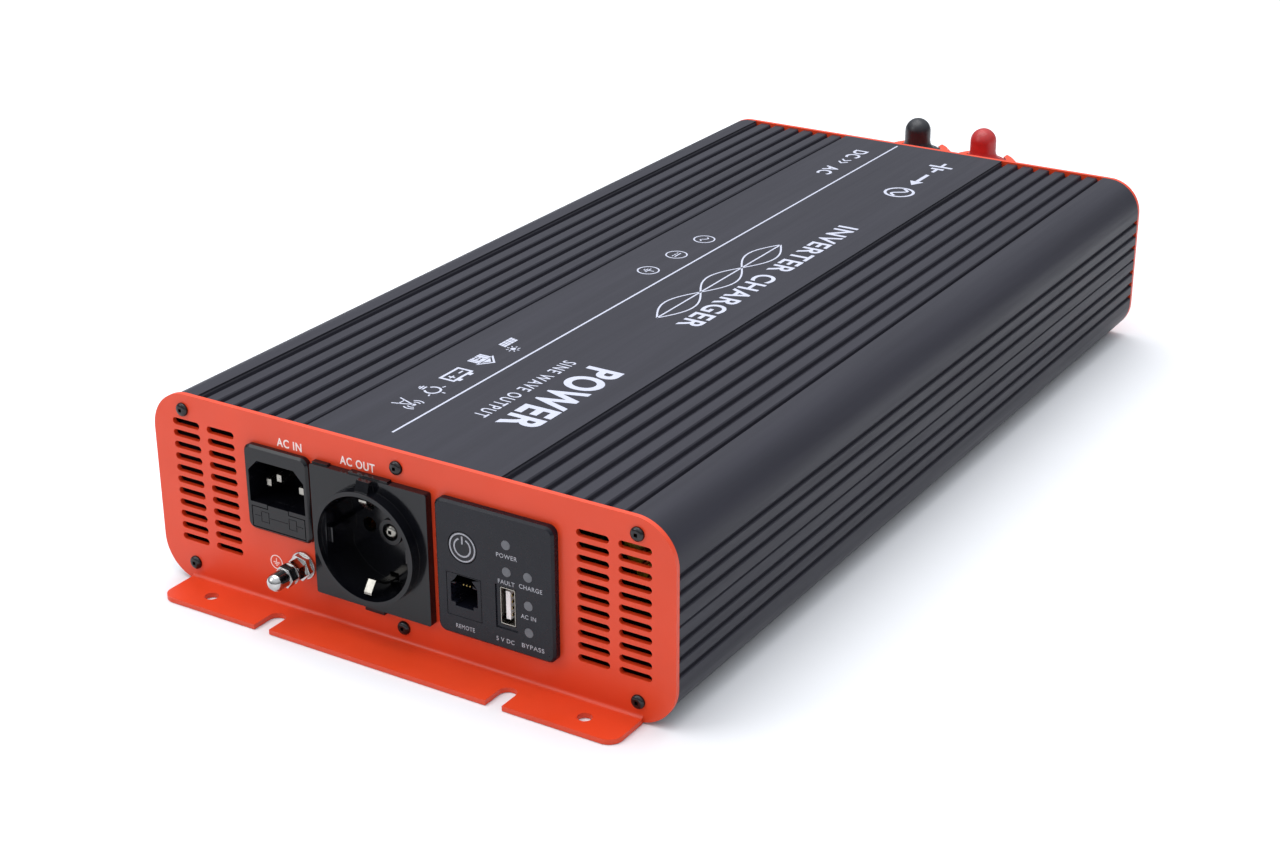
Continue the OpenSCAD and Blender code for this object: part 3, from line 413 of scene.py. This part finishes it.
def stroke(points, width, closed=False):
    """A line of even width through points, mitred at its corners."""
    path = [Vector(p) for p in points]
    count = len(path)
    edges = []
    for i, here in enumerate(path):
        before = path[i - 1] if closed or i else None
        after = path[(i + 1) % count] if closed or i < count - 1 else None
        ahead = (after - here).normalized() if after is not None else (here - before).normalized()
        behind = (here - before).normalized() if before is not None else ahead
        along = (ahead + behind).normalized()
        side = Vector((-along.y, along.x))
        reach = width / 2 / max(MITRE_LIMIT, along.dot(ahead))
        edges += [here + side * reach, here - side * reach]
    size = 2 * count
    faces = [(2 * i, 2 * i + 1, (2 * i + 3) % size, (2 * i + 2) % size)
             for i in range(count if closed else count - 1)]
    return edges, faces


def filled(points):
    """One face with these corners."""
    return [Vector(p) for p in points], [tuple(range(len(points)))]


def arc(radius, start=0, end=360, centre=(0, 0), steps=48):
    """Points on a circle, in degrees; a full circle leaves out its last point."""
    count = steps if end - start == 360 else steps + 1
    angles = [math.radians(start + (end - start) * i / steps) for i in range(count)]
    return [(centre[0] + radius * math.cos(a), centre[1] + radius * math.sin(a)) for a in angles]


def ring(radius, width, centre=(0, 0)):
    """A circle drawn as a line of even width."""
    return stroke(arc(radius, centre=centre), width, closed=True)


def disc(radius, centre=(0, 0)):
    """A filled circle."""
    return filled(arc(radius, centre=centre, steps=32))


def bar(low, high):
    """A filled rectangle between two corners."""
    return filled([low, (high[0], low[1]), high, (low[0], high[1])])


def frame_of(low, high, width):
    """The outline of a rectangle."""
    return stroke([low, (high[0], low[1]), high, (low[0], high[1])], width, closed=True)


def word(text, height, length, centre=(0, 0), weight=0.0, gap=1.12):
    """Letters of the built-in typeface, fitted to height and length in millimetres.

    weight thickens the strokes and gap spreads the letters, both in the typeface's own units.
    """
    curve = bpy.data.curves.new("letters", "FONT")
    curve.body = text
    curve.offset = weight
    curve.space_character = gap
    curve.resolution_u = 6
    letters = bpy.data.objects.new("letters", curve)
    bpy.context.scene.collection.objects.link(letters)
    bpy.context.view_layer.update()
    mesh = bpy.data.meshes.new_from_object(letters)
    points = [v.co.xy for v in mesh.vertices]
    faces = [tuple(f.vertices) for f in mesh.polygons]
    low = Vector((min(p.x for p in points), min(p.y for p in points)))
    high = Vector((max(p.x for p in points), max(p.y for p in points)))
    middle = (low + high) / 2
    wide, tall = length / (high.x - low.x), height / (high.y - low.y)
    fitted = [Vector((centre[0] + (p.x - middle.x) * wide, centre[1] + (p.y - middle.y) * tall))
              for p in points]
    bpy.data.objects.remove(letters)
    bpy.data.meshes.remove(mesh)
    bpy.data.curves.remove(curve)
    return fitted, faces


def moved(shape, by):
    """The shape, shifted."""
    return [p + Vector(by) for p in shape[0]], shape[1]


def scaled(shape, by):
    """The shape, scaled about its origin."""
    return [p * by for p in shape[0]], shape[1]


class Page:
    """A flat place for drawing: origin, the drawing's right and up, in the part's frame."""

    def __init__(self, origin, right, up):
        self.origin = Vector(origin)
        self.right = Vector(right)
        self.up = Vector(up)
        self.out = self.right.cross(self.up)

    def at(self, point):
        """The place in the part's frame of a point that is drawn in millimetres."""
        return self.origin + (self.right * point.x + self.up * point.y) * MM


def as_piece(name, edit, material, body="chassis", replaced=()):
    """Turns an edited mesh into a piece on a body, in place of the CAD nodes in replaced."""
    mesh = bpy.data.meshes.new(name)
    edit.to_mesh(mesh)
    edit.free()
    mesh.materials.append(material)
    piece = bpy.data.objects.new(name, mesh)
    bpy.context.scene.collection.objects.link(piece)
    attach(piece, body)
    if replaced:
        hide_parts(*replaced)
    return piece


def put_in_order(edit):
    """Sorts points and faces by place: an extrusion leaves them in another order each run."""
    def rank(place):
        return place.x + math.sqrt(2) * place.y + math.sqrt(3) * place.z

    def face_rank(face):
        return rank(face.calc_center_median()) + 0.01 * max(rank(v.co) for v in face.verts)
    edit.verts.sort(key=lambda vertex: rank(vertex.co))
    edit.faces.sort(key=face_rank)


def ink(name, shapes, page, material, body="chassis", depth=INK_DEPTH):
    """Raises flat shapes off a page into one thin raised piece."""
    edit = bmesh.new()
    for points, faces in shapes:
        corners = [edit.verts.new(page.at(p)) for p in points]
        for face in faces:
            edit.faces.new([corners[i] for i in face])
    bmesh.ops.remove_doubles(edit, verts=edit.verts, dist=0.002 * MM)
    bmesh.ops.recalc_face_normals(edit, faces=edit.faces)
    raised = bmesh.ops.extrude_face_region(edit, geom=edit.faces[:])["geom"]
    bmesh.ops.translate(edit, verts=[g for g in raised if isinstance(g, bmesh.types.BMVert)],
                        vec=page.out * depth)
    put_in_order(edit)
    bmesh.ops.recalc_face_normals(edit, faces=edit.faces)
    return as_piece(name, edit, material, body)


# ---- prints on the top of the case ----

def radial(inner, outer, angles, centre=(0, 0), width=0.5):
    """Short straight rays round a centre, at angles in degrees."""
    rays = []
    for angle in angles:
        way = Vector((math.cos(math.radians(angle)), math.sin(math.radians(angle))))
        rays.append(stroke([Vector(centre) + way * inner, Vector(centre) + way * outer], width))
    return rays


def sun_panel_icon():
    """A slanted solar panel in twelve cells with a small sun over it."""
    def cell(a, b):
        foot, head = b * 0.25, (b + 0.9) * 0.25
        return filled([(a + 0.1 + foot, b), (a + 1.7 + foot, b), (a + 1.7 + head, b + 0.9),
                       (a + 0.1 + head, b + 0.9)])
    cells = [cell(a, b) for a in (-4.2, -2.4, -0.6, 1.2) for b in (-3.6, -2.5, -1.4)]
    sun = (2.6, 2.4)
    return cells + radial(1.4, 2.3, range(0, 360, 45), sun, 0.4) + [disc(0.9, sun)]


def house_icon():
    """A gabled house with four window panes."""
    roof = filled([(-4.6, 0.2), (0, 4.2), (4.6, 0.2), (3.7, 0.2), (0, 3.3), (-3.7, 0.2)])
    gable = filled([(-2.2, 0.7), (2.2, 0.7), (0, 2.6)])
    walls = [bar((-3.4, -4), (-2.6, 0.4)), bar((2.6, -4), (3.4, 0.4)), bar((-2.4, -4), (-1.2, 0.4)),
             bar((1.4, -4), (2.4, 0.4)), bar((-1.0, -1.2), (1.2, 0.4))]
    panes = [bar((a, b), (a + 0.9, b + 0.9)) for a in (-1.0, 0.3) for b in (-3.9, -2.6)]
    return [roof, gable] + walls + panes


def battery_icon():
    """A starter battery with two posts, a plus and a minus."""
    case = frame_of((-4.6, -3), (4.6, 2), 0.9)
    posts = [bar((-3.6, 2.5), (-1.8, 3.6)), bar((1.8, 2.5), (3.6, 3.6))]
    signs = [bar((-3.4, -0.7), (-1.2, -0.1)), bar((1.2, -0.7), (3.4, -0.1)),
             bar((2.0, 0), (2.6, 0.8)), bar((2.0, -1.6), (2.6, -0.8))]
    return [case] + posts + signs


def lamp_icon():
    """A light bulb with three short rays."""
    bulb = stroke(arc(2.4, -55, 235, (0, 0.8), 30), 0.7)
    cap = [bar((-1.2, -2.6), (1.2, -2.0)), bar((-1.2, -3.6), (1.2, -3.0)),
           bar((-0.6, -4.3), (0.6, -3.9))]
    return [bulb] + cap + radial(3.4, 4.6, (20, 90, 160), (0, 0.8))


def mast_icon():
    """A radio mast with two waves each side."""
    legs = [stroke([(-2.2, -4), (0, 2.2)], 0.5), stroke([(2.2, -4), (0, 2.2)], 0.5),
            stroke([(-1.4, -1.8), (1.4, -1.8)], 0.4)]
    tip = (0, 2.6)
    waves = [stroke(arc(r, a - 38, a + 38, tip, 12), 0.45)
             for r in (1.9, 3.1) for a in (0, 180)]
    return legs + waves + [disc(0.7, tip)]


def earth_sign(scale):
    """A stem over three bars that get shorter."""
    def level(width, drop):
        return bar((-width * scale, (-0.2 - drop) * scale), (width * scale, (0.25 - drop) * scale))
    stem = bar((-0.25 * scale, 0.35 * scale), (0.25 * scale, 2.6 * scale))
    return [stem, level(2.2, 0), level(1.4, 0.9), level(0.6, 1.8)]


def plain_marks():
    """Three plain rings, with the signs for alternating current, direct current and earth."""
    edge = ring(4.2, 0.6)
    wave = stroke([(0.32 * k - 2.4, 1.1 * math.sin(k * math.tau / 15)) for k in range(16)], 0.55)
    steady = [bar((-2.4, 0.3), (2.4, 0.9)), bar((-2.4, -0.9), (-1.2, -0.4)),
              bar((-0.6, -0.9), (0.6, -0.4)), bar((1.2, -0.9), (2.4, -0.4))]
    return [edge, wave], [edge] + steady, [edge] + earth_sign(1.0)


def wave_graphic(length, height, width):
    """Two mirrored sine waves on a middle line, drawn as one cycle and a half."""
    steps = 72
    turn = math.radians(540)
    shapes = [stroke([(-length / 2, 0), (length / 2, 0)], width)]
    for crest in (height / 2, -height / 2):
        line = [(length * (k / steps - 0.5), crest * math.sin(turn * k / steps))
                for k in range(steps + 1)]
        shapes.append(stroke(line, width))
    return shapes


def source_symbol():
    """A plain battery cell sign, an arrow and a sine wave in a ring."""
    cell = [bar((-29, -0.7), (-24.5, 0.7)), bar((-24.5, -5.5), (-22.7, 5.5)),
            bar((-20.9, -3), (-19.1, 3)), bar((-19.1, -0.7), (-14.6, 0.7))]
    arrow = [bar((-10, -0.9), (1, 0.9)), filled([(1.2, -3.2), (7, 0), (1.2, 3.2)])]
    wave = stroke([(14 + 0.62 * k, 2.6 * math.sin(k * math.tau / 16)) for k in range(17)], 1.2)
    return cell + arrow + [wave, ring(6.1, 1.2, (19, 0))]


DC_AC_X, ICON_X, MARK_X = -21.5, -22, -21.2
ICON_SCALE = 1.15
ICON_PLACES = {sun_panel_icon: 97, house_icon: 80, battery_icon: 64, lamp_icon: 48.5, mast_icon: 35}
MARK_PLACES = (233, 211, 189.5)


def top_drawing():
    """All shapes on the case top, each with its distance behind the front face and its x."""
    arrow_head = [(-2.2, -2.2), (0, 0), (-2.2, 2.2)]
    placed = [
        (bar((-189.5, -0.4), (189.5, 0.4)), 202.5, -11.2),
        (word("POWER", 15, 57.5, weight=0.03), 66, 20),
        (word("SINE WAVE OUTPUT", 5.3, 56, weight=0.008, gap=1.25), 66.5, 5.2),
        (word("INVERTER CHARGER", 9.2, 132, weight=0.018), 211, 22.2),
        (word("DC", 6.8, 12, weight=0.02), 371, DC_AC_X),
        (word("AC", 6.8, 12, weight=0.02), 343, DC_AC_X),
        (stroke(arrow_head, 0.9), 359, DC_AC_X),
        (stroke(arrow_head, 0.9), 355.5, DC_AC_X),
    ]
    placed += [(shape, 195, 8.6) for shape in wave_graphic(96, 12, 0.7)]
    placed += [(shape, 349, 19.5) for shape in source_symbol()]
    for icon, place in ICON_PLACES.items():
        placed += [(scaled(shape, ICON_SCALE), place, ICON_X) for shape in icon()]
    for shapes, place in zip(plain_marks(), MARK_PLACES):
        placed += [(shape, place, MARK_X) for shape in shapes]
    return [moved(shape, (-behind, x)) for shape, behind, x in placed]


# ---- prints on the front ----

PANEL_LETTERS = 1.55
FUSE_SIGN_RISE = 3.7 * MM
FUSE_SIGN_DEPTH = 0.15 * MM


def plate_drawing():
    """Legends on the front plate, at (x, z) in millimetres."""
    legends = [word("AC IN", 3.1, 10.6, (-44.6, 63.4), 0.02),
               word("AC OUT", 3.1, 14.4, (-16, 63.2), 0.02)]
    earth = [ring(2.5, 0.35, (-54, 17.3))]
    earth += [moved(shape, (-54, 17.2)) for shape in earth_sign(0.62)]
    return legends + earth


def panel_drawing():
    """Legends on the remote panel: text, x and z of its centre, and length, in millimetres."""
    lines = [("POWER", 44.6, 46.8, 8), ("FAULT", 44.2, 37.5, 6.4), ("CHARGE", 53.5, 37.8, 8.8),
             ("AC IN", 52.4, 27.3, 5.8), ("BYPASS", 53.9, 16.8, 8.6),
             ("REMOTE", 27.5, 16.6, 7.4), ("5 V DC", 43.2, 16.5, 7)]
    return [word(text, PANEL_LETTERS, length, (x, z), 0.01) for text, x, z, length in lines]


def power_sign():
    """The usual standby sign: a broken ring with a bar in its gap, inside a plain ring."""
    broken_ring = stroke(arc(3.15, 115, 425, steps=40), 0.55)
    return [ring(4.85, 0.5), broken_ring, bar((-0.28, 1.2), (0.28, 4.0))]


def drawer_drawing():
    """Raised lines of a fuse sign on the drawer's face, about its centre."""
    return [frame_of((-7.6, -1.4), (-4.4, 2.4), 0.3), frame_of((4.4, -1.4), (7.6, 2.4), 0.3),
            stroke([(-10.4, 0.5), (-7.8, 0.5)], 0.3), stroke([(-4.2, 0.5), (4.2, 0.5)], 0.3),
            stroke([(7.8, 0.5), (10.4, 0.5)], 0.3)]


def print_everything():
    """Lays each drawing on its face as a piece of its own."""
    along_x = Vector((1, 0, 0))
    upwards = Vector((0, 0, 1))
    top = Page((0, FRONT_Y, CASE_TOP), (0, -1, 0), along_x)
    plate = Page((0, FRONT_Y, 0), along_x, upwards)
    panel = Page((0, PANEL_FACE_Y, 0), along_x, upwards)
    ink("top_print", top_drawing(), top, WHITE_INK)
    ink("plate_print", plate_drawing(), plate, PLATE_INK)
    ink("panel_print", panel_drawing(), panel, PANEL_INK)
    low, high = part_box("power_button")
    button = Page(((low.x + high.x) / 2, low.y, (low.z + high.z) / 2), along_x, upwards)
    ink("power_sign", power_sign(), button, PANEL_INK, body="button")
    low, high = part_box("fuse_drawer")
    drawer = Page(((low.x + high.x) / 2, low.y, low.z + FUSE_SIGN_RISE), along_x, upwards)
    ink("fuse_sign", drawer_drawing(), drawer, MATERIALS["socket_black"],
        body="fuse_tray", depth=FUSE_SIGN_DEPTH)


# ---- threaded battery studs ----

STUD_RADIUS = 4 * MM
STUD_HEAD_HEIGHT = 3 * MM
HEAD_BEVEL = 0.3 * MM
THREAD_PITCH = 1.25 * MM
THREAD_DEPTH = 0.6 * MM
THREAD_ROWS = 8          # rows of points in one turn of thread
STUD_SIDES = 32
STUD_TIP = 0.4 * MM


def stud_rows(length, head_radius):
    """The stud's profile from foot to tip: height, radius and depth of thread of each row."""
    head = STUD_HEAD_HEIGHT
    rows = [(0, head_radius - HEAD_BEVEL, 0), (HEAD_BEVEL, head_radius, 0),
            (head - HEAD_BEVEL, head_radius, 0), (head, head_radius - HEAD_BEVEL, 0)]
    steps = round((length - head) / THREAD_PITCH * THREAD_ROWS)
    rows += [(head + i * THREAD_PITCH / THREAD_ROWS, STUD_RADIUS, THREAD_DEPTH)
             for i in range(steps - THREAD_ROWS // 2)]
    rows += [(length - STUD_TIP, STUD_RADIUS - 0.5 * THREAD_DEPTH, 0),
             (length, STUD_RADIUS - THREAD_DEPTH, 0)]
    return rows


def add_stud(edit, foot, length, head_radius):
    """Adds a stud with a round head and a rolled thread to a mesh, standing on foot."""
    rings = []
    for z, wide, cut in stud_rows(length, head_radius):
        corners = []
        for k in range(STUD_SIDES):
            phase = (z / THREAD_PITCH - k / STUD_SIDES) % 1
            r = wide - cut * abs(2 * phase - 1)
            angle = math.tau * k / STUD_SIDES
            place = Vector((r * math.cos(angle), r * math.sin(angle), z))
            corners.append(edit.verts.new(foot + place))
        rings.append(corners)
    for lower, upper in zip(rings, rings[1:]):
        for k in range(STUD_SIDES):
            m = (k + 1) % STUD_SIDES
            edit.faces.new((lower[k], lower[m], upper[m], upper[k]))
    edit.faces.new(list(reversed(rings[0])))
    edit.faces.new(rings[-1])


def make_studs():
    """Both battery studs with their threads, in place of the plain ones."""
    low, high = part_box("terminal_studs")
    head_radius = (high.y - low.y) / 2
    edit = bmesh.new()
    for x in (low.x + head_radius, high.x - head_radius):
        foot = Vector((x, (low.y + high.y) / 2, low.z))
        add_stud(edit, foot, high.z - low.z, head_radius)
    as_piece("threaded_studs", edit, MATERIALS["brass"], replaced=["terminal_studs"])


# ---- camera, floor and light ----

CAMERA_LENS = 62.8
CAMERA_SENSOR = 36
CAMERA_PLACE = (0.4098, -0.7240, 0.3668)
CAMERA_TURN = (66.22, 0.20, 31.72)    # degrees
SKY_COLOUR = (0.9, 0.94, 1.0, 1)
HORIZON, ZENITH = 0.12, 1.6           # strengths of the sky
FLOOR_RADIUS = 6
FLOOR_GAP = 0.2 * MM


def make_camera():
    """The photo's camera, solved from the corners of the front plate and the case."""
    data = bpy.data.cameras.new("camera")
    data.lens = CAMERA_LENS
    data.sensor_width = CAMERA_SENSOR
    camera = bpy.data.objects.new("camera", data)
    camera.location = CAMERA_PLACE
    camera.rotation_euler = [math.radians(a) for a in CAMERA_TURN]
    bpy.context.scene.collection.objects.link(camera)
    bpy.context.scene.camera = camera


def make_light(name, where, aim, side, power):
    """A square soft light at where, turned to aim."""
    data = bpy.data.lights.new(name, "AREA")
    data.shape = "RECTANGLE"
    data.size = data.size_y = side
    data.energy = power
    light = bpy.data.objects.new(name, data)
    light.location = where
    light.rotation_euler = (Vector(aim) - Vector(where)).to_track_quat("-Z", "Y").to_euler()
    bpy.context.scene.collection.objects.link(light)


def soft_sky():
    """A sky that is dim at the horizon and bright overhead, like a room with a white ceiling."""
    world = bpy.data.worlds.new("studio")
    world.use_nodes = True
    tree = world.node_tree
    background = tree.nodes["Background"]
    background.inputs["Color"].default_value = SKY_COLOUR
    direction = tree.nodes.new("ShaderNodeTexCoord")
    parts = tree.nodes.new("ShaderNodeSeparateXYZ")
    tree.links.new(direction.outputs["Generated"], parts.inputs["Vector"])
    strength = spread(tree, parts.outputs["Z"], HORIZON, ZENITH, 0, 1)
    tree.links.new(strength, background.inputs["Strength"])
    return world


def make_studio():
    """Soft daylight from above and a weaker light on the front."""
    scene = bpy.context.scene
    scene.view_settings.view_transform = "Standard"
    scene.world = soft_sky()
    make_light("overhead", (-0.25, 0.1, 1.3), aim=(0, 0, 0), side=1.4, power=15)
    make_light("front_left", (-0.8, -1.0, 0.8), aim=(0, -0.1, 0), side=0.7, power=3.8)


def make_floor():
    """A pale paper floor, just under the feet of the plates."""
    mesh = bpy.data.meshes.new("floor")
    edit = bmesh.new()
    bmesh.ops.create_circle(edit, cap_ends=True, segments=96, radius=FLOOR_RADIUS)
    edit.to_mesh(mesh)
    edit.free()
    floor = bpy.data.objects.new("floor", mesh)
    floor.location.z = cad_box[0][2] - FLOOR_GAP
    paper = finish("paper", (0.8, 0.8, 0.81), 0.7, shade=0.985, mottle=60, grain=1.2, depth=0.02)
    mesh.materials.append(paper)
    bpy.context.scene.collection.objects.link(floor)


make_camera()
make_studio()
make_floor()
soften_nodes()
print_everything()
make_studs()
